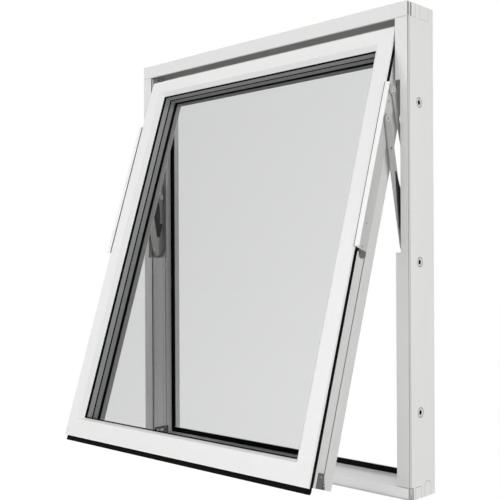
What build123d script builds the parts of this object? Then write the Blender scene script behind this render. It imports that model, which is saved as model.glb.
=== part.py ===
from build123d import *
import os
from math import cos, radians, sin, tan

# Top-guided reversible window, aluminium-clad timber, with its sash pushed open at the foot
# Millimetres. X to the right seen from outdoors, Y into the building, Z up
# Origin: middle of the flat underside of the frame sill
# A "setback" is a distance behind the frame's outdoor face and a "drop" a distance below its top
# On the sash, "down" is a distance from its top edge and "depth" a distance behind its outdoor face

# Frame, overall
frame_width = 990.0
frame_height = 1190.0
timber_depth = 102.0
timber_thickness = 34.0
stop_rise = 4.0
frame_arris = 4.0

# Frame cladding
cladding_depth = 10.0
lip_overlap = 1.0
head_face = 36.0
sheet = 2.0
lip_return = 6.0
rib_insets = (18.0, 26.0)
sill_face_bottom = 7.5
sill_face_top = 31.0
sill_slope = 5.6
sill_stop_top = 47.0
cap_setback = 20.5
cap_recess = 1.2
cap_wedge = ((4.5, 28.0), (14.5, 28.0), (10.5, 9.0))
seam_width = 1.6
seam_depth = 1.4
flange_gap = 0.7
shadow_rebate = 1.5
shadow_rebate_width = 2.4

# Notch in the cladding and pocket in the timber, for the arms
pocket_cut = 13.0
pocket_drop = 598.0
notch_drop = 185.5
pocket_setback = 60.0
pocket_radius = 33.0

# Corner joints: front and back setback of each tenon
head_tenons = ((20.0, 36.0), (56.0, 91.0))
head_mortise_front = 13.5
sill_tenon = (28.0, 52.0)
sill_tenon_height = 28.5
crowned_tenon = (67.0, 94.0)
crowned_tenon_height = 37.0
joint_gap = 0.6
rear_strip_setback = 101.0
rear_strip_foot = 49.0
rear_strip_drop = 46.0
rear_strip_line = 0.8

# Grooves down the inner face of each jamb: setback and width
inner_grooves = ((18.6, 0.8), (45.0, 0.8), (55.5, 2.4))
inner_groove_cut = 1.5

# Frame screws, in sleeves through the jambs
lower_sleeve_height = 206.0
middle_sleeve_below_pocket = 23.0
upper_sleeve_drop = 236.0
sleeve_setback = 50.8
sleeve_radius = 8.0
sleeve_bore = 4.5
flange_radius = 11.8
flange_thickness = 2.5
sleeve_fit = 0.5

# Frame weather gasket
gasket_setback = 79.0
gasket_width = 13.0
gasket_rise = 6.0
gasket_chamfer = 2.0
sill_gasket_rise = 14.0
sill_gasket_thickness = 4.0

# Sash, overall, and how far it stands open
sash_side_gap = 5.0
sash_shorter = 89.0
sash_tilt = 17.5
sash_top_drop = 53.7
sash_top_setback = 8.3
sash_depth = 85.0

# Sash cladding
stile_face = 43.0
top_face = 38.2
bottom_face = 49.0
bevel_side = 12.5
bevel_top = 10.0
bevel_bottom = 7.0
bevel_depth = 12.5
edge_return = 6.0
rib_inset = 19.0
rib_end_gap = 62.0

# Sash timber
sash_timber_front = 20.0
cladding_overhang = 3.0
glass_seat = 66.0
glass_play = 4.0
sash_arris = 5.0
groove_depth = 51.0
groove_width = 4.0
groove_cut = 3.0

# Triple glazing
pane = 4.0
glass_gap = 18.0
edge_cover = 11.5
spacer_height = 6.5
bead_lip = 3.5
bead_thickness = 2.5

# Sash seals
seal_thickness = 7.5
seal_inset = 0.5
seal_front = 6.5
side_seal_shoulder = 15.5
drip_drop = 13.0
drip_lap = 11.0
drip_end_inset = 5.0
drip_lip = 4.0

# Side covers over the arms
cover_top = 148.0
cover_bottom = 557.0
cover_stand = 2.0
cover_width = 12.0
cover_web_depth = 44.0

# Arms, links and catches: places are (down, depth) on the sash, and on the frame (setback, rise)
# with the rise counted from the pocket's bottom
hinge_plate = 5.0
hinge_plate_front = 20.0
hinge_plate_back = 46.0
hinge_plate_margin = 5.0
arm_thickness = 3.0
arm_offset = 10.0
arm_sash_pivot = (231.5, 24.5)
link_sash_pivot = (156.8, 23.4)
arm_frame_pivot = (22.3, 16.7)
link_frame_pivot = (41.3, 190.5)
arm_sash_radius = 11.0
arm_middle_radius = 12.5
arm_frame_radius = 10.5
arm_widest_share = 0.45
spare_hole_share = 0.23
link_sash_radius = 13.5
link_bar_radius = 5.5
link_frame_radius = 9.0
pin_radius = 3.0
pin_fit = 0.1
collar_radius = 6.5
pin_head_radius = 6.0
pin_head = 1.5
frame_plate_thickness = 3.0
frame_plate_radii = (11.5, 18.0, 16.0, 13.0)
frame_plate_swell = (31.0, 98.0)
frame_plate_top = (44.5, 219.0)
catch_thickness = 3.5
catch_outline = ((-9.5, 194.0), (-6.0, 149.0), (5.5, 58.0), (26.0, 63.0), (38.5, 67.0), (49.8, 107.0),
                 (38.8, 107.0), (39.0, 148.0), (36.0, 173.0), (30.0, 177.0), (9.5, 147.0))

# Guide track and shoe at the head of each jamb
track_width = 20.0
track_depth = 12.0
track_wall = 2.0
track_slot = 9.0
track_drop = 178.0
shoe_pivot = (35.0, 42.0)
shoe_length = 44.0
shoe_fit = 0.6
shoe_pin_radius = 4.0
bracket_length = 58.0
bracket_width = 28.0

# Lock at the foot of each stile, and its keep on the frame
lock_height = 34.0
lock_front = 29.0
lock_back_top = 45.0
lock_back_foot = 59.0
lock_thickness = 2.5
lock_slot_length = 11.0
lock_slot_width = 5.6
lock_slot_drop = 31.5
roller_radius = 2.6
roller_length = 5.0
keep_setback = 8.5
keep_width = 54.0
keep_bottom = 38.0
keep_height = 22.0
keep_thickness = 3.0
keep_slot = 8.0
keep_slot_share = 0.7

# Indoor handle on the bottom rail
handle_plate_length = 62.0
handle_plate_height = 28.0
handle_plate_thickness = 7.0
handle_plate_corner = 6.0
handle_plate_bevel = 1.5
spindle_radius = 9.0
lever_stand = 20.0
lever_length = 124.0
lever_height = 19.0
lever_thickness = 11.0
lever_end_radius = 9.0
lever_edge_radius = 3.0

# Worked-out places
half_width = frame_width / 2
timber_front = -timber_depth / 2
timber_back = timber_depth / 2
face = timber_front - cladding_depth
opening_half = half_width - timber_thickness
head_soffit = frame_height - timber_thickness
lip_half = opening_half - lip_overlap
head_lip = frame_height - head_face
pocket_bottom = frame_height - pocket_drop
notch_top = frame_height - notch_drop
track_bottom = frame_height - track_drop
sleeve_heights = (lower_sleeve_height, pocket_bottom - middle_sleeve_below_pocket,
                  frame_height - upper_sleeve_drop)
stop_front = face + gasket_setback + gasket_width
sill_stop_front = face + gasket_setback + sill_gasket_thickness
pocket_floor = opening_half + pocket_cut
sash_half = opening_half - sash_side_gap
sash_height = frame_height - sash_shorter
sash_top_height = frame_height - sash_top_drop
stile_half = sash_half - cladding_overhang
sash_timber_bottom = sash_height - cladding_overhang
lock_top = sash_timber_bottom - lock_height
sight_half = sash_half - stile_face - bevel_side
sight_top = top_face + bevel_top
sight_bottom = sash_height - bottom_face - bevel_bottom
glass_half = sight_half + edge_cover
glass_top = sight_top - edge_cover
glass_bottom = sight_bottom + edge_cover
glass_front = bevel_depth + bead_thickness
rebate_half = glass_half + glass_play
rebate_top = glass_top - glass_play
rebate_bottom = glass_bottom + glass_play
web_outer = stile_half + hinge_plate + sheet
arm_inner = stile_half + arm_offset
arm_outer = arm_inner + arm_thickness
plate_inner = pocket_floor - frame_plate_thickness


def block(x0, x1, y0, y1, z0, z1):
    """A box between two corners."""
    return Pos((x0 + x1) / 2, (y0 + y1) / 2, (z0 + z1) / 2) * Box(x1 - x0, y1 - y0, z1 - z0)


def along_x(points, x0, x1):
    """A bar along X whose section is given as (y, z) points."""
    return extrude(Plane.YZ.offset(x0) * make_face(Polyline(*points, close=True)), x1 - x0)


def along_z(points, z0, z1):
    """An upright bar whose section is given as (x, y) points."""
    return extrude(Pos(0, 0, z0) * make_face(Polyline(*points, close=True)), z1 - z0)


def plate_at(outline, x0, x1):
    """A plate lying across X, from an outline drawn in (y, z)."""
    return extrude(Plane.YZ.offset(x0) * outline, x1 - x0)


def disc(centre, radius, x0, x1):
    """A round pin along X."""
    return plate_at(Pos(*centre) * Circle(radius), x0, x1)


def belt(first, first_radius, second, second_radius):
    """The outline of a belt drawn tight round two circles."""
    circles = Pos(*first) * Circle(first_radius), Pos(*second) * Circle(second_radius)
    return make_hull(circles[0].edges() + circles[1].edges())


def sash_point(down_depth):
    """The frame's (y, z) of a place on the open sash."""
    down, depth = down_depth
    tilt = radians(sash_tilt)
    y = face + sash_top_setback - down * sin(tilt) + depth * cos(tilt)
    return y, sash_top_height - down * cos(tilt) - depth * sin(tilt)


def frame_point(setback_height):
    """The frame's (y, z) of a place given by its setback and height."""
    setback, height = setback_height
    return face + setback, height


def pocket_point(setback_rise):
    """The frame's (y, z) of a place given by its setback and its rise above the pocket's bottom."""
    setback, rise = setback_rise
    return face + setback, pocket_bottom + rise


def open_out(shape):
    """Swing a piece drawn on the upright sash (y = depth, z = -down) to where the open sash holds it."""
    return Pos(0, face + sash_top_setback, sash_top_height) * Rot(-sash_tilt, 0, 0) * shape


def sash_block(x0, x1, down0, down1, depth0, depth1):
    """A box on the upright sash."""
    return block(x0, x1, depth0, depth1, -down1, -down0)


def slope_height(setback):
    """Height of the sill cladding's sloped top at a setback."""
    return sill_face_top + setback * tan(radians(sill_slope))


sill_gasket_top = slope_height(gasket_setback) + sill_gasket_rise


# Frame timber

def frame_jamb():
    """Right jamb: a board with a stop, open corner mortises, the arm pocket and the screw holes."""
    stop = opening_half - stop_rise
    section = [(opening_half, timber_front), (half_width, timber_front), (half_width, timber_back),
               (stop, timber_back), (stop, stop_front), (opening_half, stop_front)]
    jamb = along_z(section, 0, frame_height)
    jamb = fillet(jamb.edges().filter_by(Axis.Z).sort_by(Axis.X)[:2].sort_by(Axis.Y)[-1], frame_arris)
    jamb -= block(0, opening_half, stop_front - 1, timber_back + 1, head_soffit, frame_height + 1)
    jamb -= block(0, opening_half, stop_front - 1, timber_back + 1, -1, sill_stop_top)
    fronts = head_mortise_front, head_tenons[1][0] - joint_gap
    for front, (_, back) in zip(fronts, head_tenons):
        jamb -= block(0, half_width + 1, face + front, face + back + joint_gap,
                      head_soffit, frame_height + 1)
    jamb -= sill_tenons(0, half_width + 1, joint_gap)
    for setback, width in inner_grooves:
        jamb -= block(0, opening_half + inner_groove_cut, face + setback, face + setback + width,
                      sill_stop_top, head_soffit)
    for line in rear_strip_lines():
        jamb -= line
    jamb -= arm_pocket()
    jamb -= block(half_width - sheet, half_width + 1, timber_front - 1, face + cap_setback,
                  -1, sill_face_top)
    for height in sleeve_heights:
        jamb -= sleeve(height, sleeve_fit)
    return jamb


def sill_tenons(x0, x1, gap):
    """A square and a round-topped tenon on the sill's end, or their mortises when given a gap."""
    front, back = (face + setback for setback in sill_tenon)
    square = block(x0, x1, front - gap, back + gap, -gap, sill_tenon_height + gap)
    front, back = (face + setback for setback in crowned_tenon)
    radius = (back - front) / 2
    shoulder = crowned_tenon_height - radius
    crowned = block(x0, x1, front - gap, back + gap, -gap, shoulder)
    crowned += disc(((front + back) / 2, shoulder), radius + gap, x0, x1)
    return square + crowned


def rear_strip_lines():
    """Fine grooves round the two strips that close the jamb's rear corners, on its side."""
    line = rear_strip_line
    front = face + rear_strip_setback
    lines = []
    for outer, inner in ((0, rear_strip_foot), (frame_height, frame_height - rear_strip_drop)):
        bottom, top = sorted((outer, inner))
        lines.append(block(half_width - line, half_width + 1, front, front + line, bottom, top))
        lines.append(block(half_width - line, half_width + 1, front, timber_back + 1,
                           inner - line / 2, inner + line / 2))
    return lines


def arm_pocket():
    """Room milled in the jamb's front for the arms, rounded at its lower back corner."""
    room = block(0, pocket_floor, face, face + pocket_setback, pocket_bottom, head_soffit)
    return fillet(room.edges().filter_by(Axis.X).group_by(Axis.Z)[0].sort_by(Axis.Y)[-1], pocket_radius)


def sleeve(height, fit=0.0):
    """Flanged screw sleeve, through the jamb or through to the pocket floor."""
    inner = pocket_floor if height > pocket_bottom else opening_half
    centre = face + sleeve_setback, height
    tube = disc(centre, sleeve_radius + fit, inner - fit, half_width)
    return tube + disc(centre, flange_radius + fit, half_width - flange_thickness - fit, half_width + fit)


def fixing_sleeves():
    """The right jamb's sleeves, bored for the frame screws."""
    right = [sleeve(height) - disc((face + sleeve_setback, height), sleeve_bore, 0, half_width + 1)
             for height in sleeve_heights]
    return right


def frame_head():
    """Head board with its stop and two through tenons at each end."""
    head = block(-opening_half, opening_half, timber_front, timber_back, head_soffit, frame_height)
    stop = opening_half - stop_rise
    head += block(-stop, stop, stop_front, timber_back, head_soffit - stop_rise, head_soffit)
    head = fillet(head.edges().filter_by(Axis.X).group_by(Axis.Z)[0].sort_by(Axis.Y)[-1], frame_arris)
    for front, back in head_tenons:
        tenon = block(opening_half, half_width, face + front, face + back, head_soffit, frame_height)
        head += tenon + mirror(tenon, about=Plane.YZ)
    return head


def frame_sill():
    """Sill board with a sloped front, a stop and two through tenons at each end."""
    section = [(timber_front, 0), (timber_front, slope_height(cladding_depth) - sheet),
               (sill_stop_front, slope_height(sill_stop_front - face) - sheet),
               (sill_stop_front, sill_stop_top), (timber_back, sill_stop_top), (timber_back, 0)]
    sill = along_x(section, -opening_half, opening_half)
    sill = fillet(sill.edges().filter_by(Axis.X).group_by(Axis.Z)[-1].sort_by(Axis.Y)[-1], frame_arris)
    tenons = sill_tenons(opening_half, half_width, 0.0)
    return sill + tenons + mirror(tenons, about=Plane.YZ)


# Frame cladding

def head_cladding():
    """Folded sheet over the head, from side to side, with clip ribs behind it."""
    back = face + cladding_depth
    cover = block(-half_width, half_width, face, face + sheet, head_lip, frame_height)
    cover += block(-half_width, half_width, face, back, frame_height - sheet, frame_height)
    cover += block(-half_width, half_width, face, face + sheet + lip_return, head_lip, head_lip + sheet)
    for inset in rib_insets:
        height = head_lip + inset
        cover += block(-opening_half, opening_half, face + sheet, back, height - sheet, height)
    return cover


def jamb_cladding():
    """Folded sheet over the right jamb, notched where the arms and side cover pass."""
    back = face + cladding_depth
    bottom = slope_height(cladding_depth) + joint_gap
    top = head_lip - joint_gap
    cover = block(lip_half, half_width, face, face + sheet, bottom, top)
    cover += block(half_width - sheet, half_width, face, back - flange_gap, bottom, top)
    cover -= block(half_width - seam_depth, half_width + 1, face + sheet, face + sheet + seam_width,
                   bottom - 1, top + 1)
    cover += block(lip_half, lip_half + sheet, face, face + sheet + lip_return, bottom, top)
    cover -= block(0, lip_half + shadow_rebate, face + sheet, face + sheet + shadow_rebate_width,
                   bottom - 1, top + 1)
    for inset in rib_insets:
        rib = lip_half + inset
        cover += block(rib - sheet, rib, face + sheet, back, bottom, top)
    return cover - block(0, pocket_floor, face - 1, back + 1, pocket_bottom, notch_top)


def sill_cladding():
    """Folded sheet over the sill: front, bottom return and the slope up to the gasket."""
    front = [(0, sill_face_bottom), (0, sill_face_top), (cladding_depth, slope_height(cladding_depth)),
             (cladding_depth, slope_height(cladding_depth) - sheet), (sheet, slope_height(sheet) - sheet),
             (sheet, sill_face_bottom + sheet), (cladding_depth, sill_face_bottom + sheet),
             (cladding_depth, sill_face_bottom)]
    end = half_width - sheet
    cover = along_x([frame_point(place) for place in front], -end, end)
    back = sill_stop_front - face
    slope = [(cladding_depth, slope_height(cladding_depth)), (back, slope_height(back)),
             (back, slope_height(back) - sheet), (cladding_depth, slope_height(cladding_depth) - sheet)]
    end = opening_half - joint_gap
    return cover + along_x([frame_point(place) for place in slope], -end, end)


def sill_end_cap():
    """Cap that closes the sill cladding's end, with a raised wedge."""
    floor = half_width - cap_recess
    cap = block(half_width - sheet, floor, face, face + cap_setback, 0, sill_face_top)
    return cap + along_x([frame_point(place) for place in cap_wedge], floor, half_width)


# Frame gaskets

def gasket_section():
    """Bulb of the jamb and head gasket, as (rise, setback) points."""
    back = gasket_setback + gasket_width
    return [(0, gasket_setback), (gasket_rise - gasket_chamfer, gasket_setback),
            (gasket_rise, gasket_setback + gasket_chamfer), (gasket_rise, back - gasket_chamfer),
            (gasket_rise - gasket_chamfer, back), (0, back)]


def jamb_gasket():
    section = [(opening_half - rise, face + setback) for rise, setback in gasket_section()]
    return along_z(section, sill_gasket_top, head_soffit)


def head_gasket():
    section = [(face + setback, head_soffit - rise) for rise, setback in gasket_section()]
    return along_x(section, -opening_half + gasket_rise, opening_half - gasket_rise)


def sill_gasket():
    """Upright lip at the back of the sill's slope."""
    front, back = face + gasket_setback, sill_stop_front
    section = [(front, slope_height(gasket_setback)), (front, sill_gasket_top),
               (back, sill_gasket_top), (back, slope_height(back - face))]
    return along_x(section, -opening_half + joint_gap, opening_half - joint_gap)


# Sash timber

def sash_stile():
    """Right stile: rebated for the glass, grooved for the lock rod, full height."""
    section = [(rebate_half, sash_timber_front), (stile_half, sash_timber_front), (stile_half, sash_depth),
               (sight_half, sash_depth), (sight_half, glass_seat), (rebate_half, glass_seat)]
    stile = along_z(section, -sash_timber_bottom, -cladding_overhang)
    stile = fillet(stile.edges().filter_by(Axis.Z).sort_by(Axis.X)[:2].sort_by(Axis.Y)[-1], sash_arris)
    groove = groove_depth - groove_width / 2
    return stile - sash_block(stile_half - groove_cut, stile_half + 1, 0, sash_height,
                              groove, groove + groove_width)


def sash_rail(outer, rebate, sight):
    """A rail between the stiles, from its outer edge to the rebate and to the sight line."""
    near, far = sorted((outer, rebate))
    rail = sash_block(-rebate_half, rebate_half, near, far, sash_timber_front, glass_seat)
    near, far = sorted((outer, sight))
    back = sash_block(-sight_half, sight_half, near, far, glass_seat, sash_depth)
    corner = back.edges().filter_by(Axis.X).group_by(Axis.Y)[-1].sort_by(Axis.Z)
    corner = corner[0] if sight > outer else corner[-1]
    return rail + fillet(corner, sash_arris)


# Sash cladding

def sash_cladding_ring():
    """Face and bevel sheet round the whole sash, with its edge return and clip ribs."""
    def tapered_hole(growth, start):
        """The bevelled opening, grown outwards by a sheet's thickness, from a depth backwards."""
        lip = opening(sash_half - stile_face + growth, top_face - growth,
                      sash_height - bottom_face + growth, start)
        sight = opening(sight_half + growth, sight_top - growth, sight_bottom + growth,
                        start + bevel_depth)
        return loft([lip, sight])

    ring = sash_block(-sash_half, sash_half, 0, sash_height, 0, bevel_depth) - tapered_hole(0, 0)
    inside = sash_half - sheet
    hollow = sash_block(-inside, inside, sheet, sash_height - sheet, sheet, bevel_depth + 1)
    hollow += sash_block(-sash_half - 1, sash_half + 1, -1, sash_height + 1, edge_return, bevel_depth + 1)
    ring -= hollow - tapered_hole(sheet, sheet)
    rib = sash_half - rib_inset
    for x in (-rib, rib - sheet):
        ring += sash_block(x, x + sheet, rib_end_gap, sash_height - rib_end_gap, sheet, sash_timber_front)
    end = sash_half - rib_end_gap
    for down in (rib_inset, sash_height - rib_inset):
        ring += sash_block(-end, end, down - sheet / 2, down + sheet / 2, sheet, sash_timber_front)
    return ring


def opening(half, top, bottom, depth):
    """A rectangle across the upright sash at a depth."""
    outline = Plane.XZ.offset(-depth) * Pos(0, -(top + bottom) / 2) * Rectangle(2 * half, bottom - top)
    return outline


def sash_claddings():
    """The cladding ring parted along its mitres: top, bottom and right pieces."""
    ring = sash_cladding_ring()
    outer_top, outer_bottom = (sash_half, 0), (sash_half, -sash_height)
    inner_top, inner_bottom = (sight_half, -sight_top), (sight_half, -sight_bottom)

    def flip(point):
        return -point[0], point[1]

    def share(points):
        wedge = Plane.XZ.offset(1) * make_face(Polyline(*points, close=True))
        return ring & extrude(wedge, -(sash_timber_front + 2))

    top = share([flip(outer_top), outer_top, inner_top, flip(inner_top)])
    bottom = share([flip(outer_bottom), outer_bottom, inner_bottom, flip(inner_bottom)])
    right = share([outer_top, outer_bottom, inner_bottom, inner_top])
    return top, bottom, right


# Glazing

def glass_pane(number):
    """Outer, middle or inner pane: 0, 1 or 2."""
    front = glass_front + number * (pane + glass_gap)
    return sash_block(-glass_half, glass_half, glass_top, glass_bottom, front, front + pane)


def ring_between(outer_margin, inner_margin, depth0, depth1):
    """A rectangular ring round the sight opening, its edges offset outwards by two margins."""
    def slab(margin):
        return sash_block(-sight_half - margin, sight_half + margin, sight_top - margin,
                          sight_bottom + margin, depth0, depth1)
    return slab(outer_margin) - slab(inner_margin)


def spacer(number):
    """Spacer frame behind the outer or the middle pane: 0 or 1."""
    front = glass_front + number * (pane + glass_gap) + pane
    return ring_between(spacer_height, 0, front, front + glass_gap)


def outer_bead():
    """Gasket round the outer pane, with a lip that stands up along the foot."""
    lip = sash_block(-sight_half, sight_half, sight_bottom - bead_lip, sight_bottom + edge_cover,
                     bevel_depth, glass_front)
    return ring_between(edge_cover, 0, bevel_depth, glass_front) + lip


def inner_bead():
    return ring_between(edge_cover, 0, glass_front + 3 * pane + 2 * glass_gap, glass_seat)


# Sash seals

def side_seal():
    """Rubber behind the cladding's edge, tapered back to the stile's side."""
    inner, outer = sash_half - drip_end_inset, sash_half - seal_inset
    section = [(inner, seal_front), (outer, seal_front), (outer, side_seal_shoulder),
               (stile_half, sash_timber_front), (inner, sash_timber_front)]
    return along_z(section, -sash_timber_bottom, -cladding_overhang)


def top_seal():
    end = sash_half - drip_end_inset
    return sash_block(-end, end, cladding_overhang + seal_inset,
                      cladding_overhang + seal_inset + seal_thickness, seal_front, sash_timber_front)


def drip_seal():
    """Rubber strip that hangs below the bottom rail, with a thinner lip at its foot."""
    top = -(sash_timber_bottom - drip_lap)
    foot = -(sash_height + drip_drop)
    section = [(seal_front, top), (sash_timber_front, top), (sash_timber_front, foot + drip_lip),
               (sash_timber_front - drip_lip, foot), (seal_front, foot)]
    end = sash_half - drip_end_inset
    return along_x(section, -end, end)


# Side covers and arms

def hinge_plate_piece():
    """Steel plate on the stile that carries the arm and the link."""
    return sash_block(stile_half, stile_half + hinge_plate, cover_top - hinge_plate_margin,
                      cover_bottom + hinge_plate_margin, hinge_plate_front, hinge_plate_back)


def side_cover():
    """Angle that fills the frame's notch when the sash is shut: web on the plate, leaf outdoors."""
    web = sash_block(web_outer - sheet, web_outer, cover_top, cover_bottom, -cover_stand, cover_web_depth)
    leaf = sash_block(web_outer - sheet, web_outer + cover_width, cover_top, cover_bottom,
                      -cover_stand, sheet - cover_stand)
    return web + leaf


def between(first, second, share):
    """A place part of the way from one to the other."""
    return tuple(a + (b - a) * share for a, b in zip(first, second))


def main_arm():
    """Flat arm, widest at mid length, with an eye at each end."""
    top, foot = sash_point(arm_sash_pivot), pocket_point(arm_frame_pivot)
    middle = between(top, foot, arm_widest_share)
    outline = belt(top, arm_sash_radius, middle, arm_middle_radius)
    outline += belt(middle, arm_middle_radius, foot, arm_frame_radius)
    arm = plate_at(outline, arm_inner, arm_outer)
    for eye in (top, foot):
        arm -= disc(eye, pin_radius + pin_fit, arm_inner - 1, arm_outer + 1)
    spare_hole = between(top, foot, spare_hole_share)
    return arm - disc(spare_hole, pin_radius, arm_inner - 1, arm_outer + 1)


def stay_link():
    """Shorter link beside the arm, with a broad eye on the sash."""
    top, foot = sash_point(link_sash_pivot), pocket_point(link_frame_pivot)
    outline = belt(top, link_bar_radius, foot, link_bar_radius)
    outline += Pos(*top) * Circle(link_sash_radius) + Pos(*foot) * Circle(link_frame_radius)
    link = plate_at(outline, arm_inner, arm_outer)
    for eye in (top, foot):
        link -= disc(eye, pin_radius + pin_fit, arm_inner - 1, arm_outer + 1)
    return link


def frame_plate():
    """Steel plate on the pocket floor that carries both lower pivots, shaped along a bent line."""
    spine = arm_frame_pivot, frame_plate_swell, link_frame_pivot, frame_plate_top
    places = [pocket_point(place) for place in spine]
    outline = belt(places[0], frame_plate_radii[0], places[1], frame_plate_radii[1])
    for number in (1, 2):
        outline += belt(places[number], frame_plate_radii[number],
                        places[number + 1], frame_plate_radii[number + 1])
    return plate_at(outline, plate_inner, pocket_floor)


def child_catch():
    """Hooked opening limiter, flat on the arm."""
    outline = [pocket_point(place) for place in catch_outline]
    return along_x(outline, arm_outer, arm_outer + catch_thickness)


def arm_pins():
    """The right-hand rivets of the arm and the link, with collars that hold them off the plates."""
    pins = []
    for place in (arm_sash_pivot, link_sash_pivot):
        centre = sash_point(place)
        pin = disc(centre, collar_radius, web_outer, arm_inner)
        pin += disc(centre, pin_radius, arm_inner, arm_outer)
        pins.append(pin + disc(centre, pin_head_radius, arm_outer, arm_outer + pin_head))
    for place in (arm_frame_pivot, link_frame_pivot):
        centre = pocket_point(place)
        pin = disc(centre, collar_radius, arm_outer, plate_inner)
        pin += disc(centre, pin_radius, arm_inner, arm_outer)
        pins.append(pin + disc(centre, pin_head_radius, arm_inner - pin_head, arm_inner))
    return pins


# Guides

def guide_track():
    """Channel in the pocket, open towards the sash, that the guide shoe runs in."""
    centre = sash_point(shoe_pivot)[0]
    half = track_width / 2
    inner = pocket_floor - track_depth
    track = block(inner, pocket_floor, centre - half, centre + half, track_bottom, head_soffit)
    track -= block(inner + track_wall, pocket_floor - track_wall, centre - half + track_wall,
                   centre + half - track_wall, track_bottom - 1, head_soffit + 1)
    return track - block(inner - 1, inner + track_wall + 1, centre - track_slot / 2,
                         centre + track_slot / 2, track_bottom - 1, head_soffit + 1)


def guide_shoe():
    """Block that slides in the track, with an eye for the bracket's pin."""
    centre, height = sash_point(shoe_pivot)
    half = track_width / 2 - track_wall - shoe_fit
    shoe = block(pocket_floor - track_depth + track_wall + shoe_fit, pocket_floor - track_wall - shoe_fit,
                 centre - half, centre + half, height - shoe_length / 2, height + shoe_length / 2)
    return shoe - disc((centre, height), shoe_pin_radius + pin_fit, 0, half_width)


def shoe_bracket():
    """Plate at the top of the stile with the pin that turns in the guide shoe."""
    down, depth = shoe_pivot
    plate = open_out(sash_block(stile_half, stile_half + hinge_plate, down - bracket_length / 2,
                                down + bracket_length / 2, depth - bracket_width / 2,
                                depth + bracket_width / 2))
    return plate + disc(sash_point(shoe_pivot), shoe_pin_radius, stile_half + hinge_plate,
                        pocket_floor - track_wall - shoe_fit)


# Locks and handle

def lock():
    """Plate at the foot of the stile with a slot for the roller bolt."""
    outline = [(lock_front, -lock_top), (lock_back_top, -lock_top), (lock_back_foot, -sash_timber_bottom),
               (lock_front, -sash_timber_bottom)]
    plate = along_x(outline, stile_half, stile_half + lock_thickness)
    slot_centre = lock_top + lock_slot_drop - lock_slot_length / 2
    half = lock_slot_width / 2
    plate -= sash_block(stile_half - 1, stile_half + lock_thickness + 1, slot_centre - lock_slot_length / 2,
                        slot_centre + lock_slot_length / 2, groove_depth - half, groove_depth + half)
    roller = Pos(stile_half - groove_cut, groove_depth, -slot_centre) * Rot(0, 90, 0) * Cylinder(
        groove_width / 2, groove_cut + roller_length, align=(Align.CENTER, Align.CENTER, Align.MIN))
    head = Pos(stile_half, groove_depth, -slot_centre) * Rot(0, 90, 0) * Cylinder(
        roller_radius, roller_length, align=(Align.CENTER, Align.CENTER, Align.MIN))
    return plate, roller + head


def lock_keep():
    """Keep low on the jamb, with the slot that the roller bolt enters."""
    front = face + keep_setback
    keep = block(opening_half - keep_thickness, opening_half, front, front + keep_width,
                 keep_bottom, keep_bottom + keep_height)
    middle = keep_bottom + keep_height / 2
    return keep - block(opening_half - keep_thickness - 1, opening_half + 1, front - 1,
                        front + keep_width * keep_slot_share, middle - keep_slot / 2, middle + keep_slot / 2)


def handle():
    """Handle plate and lever on the indoor side of the bottom rail."""
    down = (sight_bottom + sash_timber_bottom) / 2
    half = handle_plate_length / 2
    rise = handle_plate_height / 2
    back = sash_depth + handle_plate_thickness
    plate = sash_block(-half, half, down - rise, down + rise, sash_depth, back)
    plate = fillet(plate.edges().filter_by(Axis.Y), handle_plate_corner)
    plate = chamfer(plate.faces().sort_by(Axis.Y)[-1].edges(), handle_plate_bevel)
    spindle = Pos(0, back, -down) * Rot(-90, 0, 0) * Cylinder(
        spindle_radius, lever_stand, align=(Align.CENTER, Align.CENTER, Align.MIN))
    reach = back + lever_stand
    lever = sash_block(-lever_height / 2, lever_length, down - lever_height / 2, down + lever_height / 2,
                       reach, reach + lever_thickness)
    lever = fillet(lever.edges().filter_by(Axis.Y), lever_end_radius)
    lever = fillet(lever.faces().sort_by(Axis.Y)[-1].edges(), lever_edge_radius)
    return plate, spindle + lever


def write(name, shape):
    export_step(shape, f"parts/{name}.step")


def write_pair(name, right):
    """Write a right-hand piece and its mirror image."""
    write(f"{name}_right", right)
    write(f"{name}_left", mirror(right, about=Plane.YZ))


def write_both(name, *right):
    """Write small right-hand pieces and their mirror images as one node."""
    write(name, Compound(children=[*right, *(mirror(piece, about=Plane.YZ) for piece in right)]))


def write_frame():
    write("frame_head", frame_head())
    write("frame_sill", frame_sill())
    write_pair("frame_jamb", frame_jamb())
    write("head_cladding", head_cladding())
    write("sill_cladding", sill_cladding())
    write_pair("jamb_cladding", jamb_cladding())
    write_both("sill_end_caps", sill_end_cap())
    write_both("fixing_sleeves", *fixing_sleeves())
    write("frame_gasket_head", head_gasket())
    write("frame_gasket_sill", sill_gasket())
    write_both("frame_gasket_jambs", jamb_gasket())
    write_both("guide_tracks", guide_track())
    write_both("frame_plates", frame_plate())
    write_both("lock_keeps", lock_keep())


def write_sash():
    write_pair("sash_stile", open_out(sash_stile()))
    write("sash_top_rail", open_out(sash_rail(cladding_overhang, rebate_top, sight_top)))
    write("sash_bottom_rail", open_out(sash_rail(sash_timber_bottom, rebate_bottom, sight_bottom)))
    top, bottom, right = sash_claddings()
    write("sash_cladding_top", open_out(top))
    write("sash_cladding_bottom", open_out(bottom))
    write_pair("sash_cladding", open_out(right))
    for number, name in enumerate(("outer", "middle", "inner")):
        write(f"glass_{name}", open_out(glass_pane(number)))
    write("glass_spacers", Compound(children=[open_out(spacer(0)), open_out(spacer(1))]))
    write("glazing_bead_outer", open_out(outer_bead()))
    write("glazing_bead_inner", open_out(inner_bead()))
    write("sash_seal_top", open_out(top_seal()))
    write("sash_drip_seal", open_out(drip_seal()))
    write_both("sash_seal_sides", open_out(side_seal()))
    plate, roller = lock()
    write_both("lock_plates", open_out(plate))
    write_both("lock_rollers", open_out(roller))
    plate, lever = handle()
    write("handle_plate", open_out(plate))
    write("handle_lever", open_out(lever))


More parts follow.
